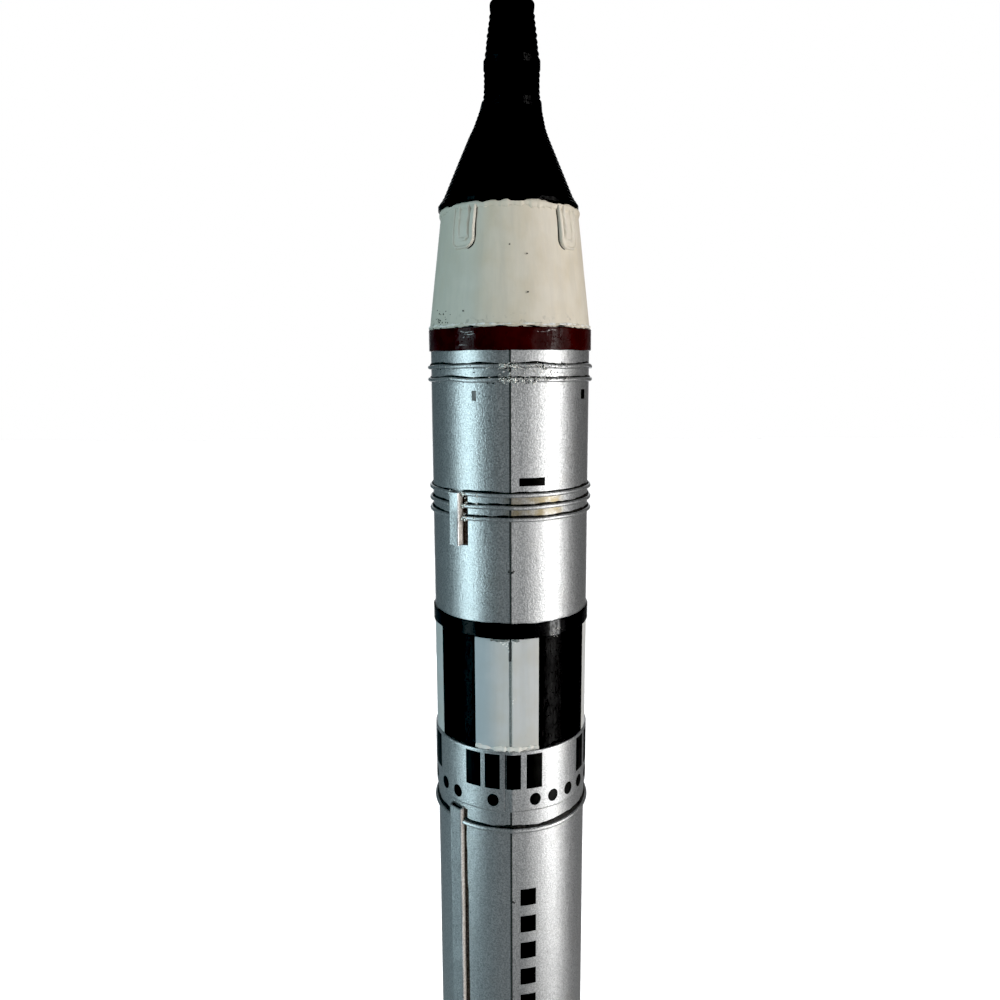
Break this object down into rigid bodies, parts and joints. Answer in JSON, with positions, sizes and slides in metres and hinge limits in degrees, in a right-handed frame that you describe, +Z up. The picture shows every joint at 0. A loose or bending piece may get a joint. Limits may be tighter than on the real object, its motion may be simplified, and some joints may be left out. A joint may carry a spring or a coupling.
{
  "type": "model rocket",
  "caption": "Display model of a two-stage crewed rocket in soldered sheet metal, with a bell-shaped cabin on a tapered adapter, lifting apart by stages on a round stand.",
  "frame": {"origin": "middle of the felt's underside, on the table, on the rocket's axis", "axes": "+Z up along the rocket; -Y is the front, where the lap seams of the skins are; +X is to the right seen from the front"},
  "size_m": [0.14, 0.14, 0.7135],
  "materials": {
    "silver_paint": "brushed-on aluminium paint, satin, slightly grainy",
    "gloss_black_paint": "gloss enamel",
    "white_paint": "off-white brushed enamel, satin",
    "maroon_paint": "gloss enamel",
    "bare_tinplate": "bare tinplate",
    "engine_metal": "satin gunmetal",
    "ring_paint": "satin black",
    "post_steel": "turned steel",
    "brass": "polished",
    "lacquered_wood": "stained and lacquered",
    "felt": "green wool felt"
  },
  "bodies": {
    "stand": {"base_felt": "felt", "base_board": "lacquered_wood", "stand_post_1": "post_steel", "stand_post_2": "post_steel", "stand_post_3": "post_steel", "stand_post_4": "post_steel", "launch_ring": "ring_paint", "post_screws": "brass", "ring_screws": "brass"},
    "first_stage": {"first_stage_skin": "silver_paint", "interstage_skin": "silver_paint", "splice_sleeve": "bare_tinplate", "splice_bead": "silver_paint", "aft_band": "silver_paint", "interstage_band": "silver_paint", "black_band": "gloss_black_paint", "forward_bulkhead": "bare_tinplate", "thrust_plate": "bare_tinplate", "front_raceway": "silver_paint", "rear_raceway": "silver_paint", "tail_hoop_1": "silver_paint", "tail_hoop_2": "silver_paint", "tank_hoop_1": "silver_paint", "tank_hoop_2": "silver_paint", "tank_hoop_3": "silver_paint", "engine_bell_1": "engine_metal", "engine_bell_2": "engine_metal", "engine_chamber_1": "engine_metal", "engine_chamber_2": "engine_metal", "exhaust_pipe_1": "engine_metal", "exhaust_pipe_2": "engine_metal"},
    "second_stage": {"second_stage_skin": "silver_paint", "coupler_sleeve": "bare_tinplate", "lower_bulkhead": "bare_tinplate", "upper_bulkhead": "bare_tinplate", "maroon_band": "maroon_paint", "short_raceway": "silver_paint", "middle_hoop_1": "silver_paint", "middle_hoop_2": "silver_paint", "middle_hoop_3": "silver_paint", "upper_hoop_1": "silver_paint", "upper_hoop_2": "silver_paint"},
    "spacecraft": {"adapter_plug": "bare_tinplate", "adapter_shell": "white_paint", "adapter_fairing_1": "white_paint", "adapter_fairing_2": "white_paint", "adapter_fairing_3": "white_paint", "adapter_fairing_4": "white_paint", "heat_shield": "gloss_black_paint", "cabin_shell": "gloss_black_paint", "cabin_collar": "gloss_black_paint", "thruster_section": "gloss_black_paint", "ridge_ring": "gloss_black_paint", "radar_section": "gloss_black_paint", "nose_cap": "gloss_black_paint"}
  },
  "joints": [
    {"name": "first_stage_lift", "type": "slide", "parent": "stand", "child": "first_stage", "axis": [0, 0, 1], "range_m": [0, 0.06]},
    {"name": "second_stage_lift", "type": "slide", "parent": "first_stage", "child": "second_stage", "axis": [0, 0, 1], "range_m": [0, 0.04]},
    {"name": "spacecraft_lift", "type": "slide", "parent": "second_stage", "child": "spacecraft", "axis": [0, 0, 1], "range_m": [0, 0.035]}
  ]
}
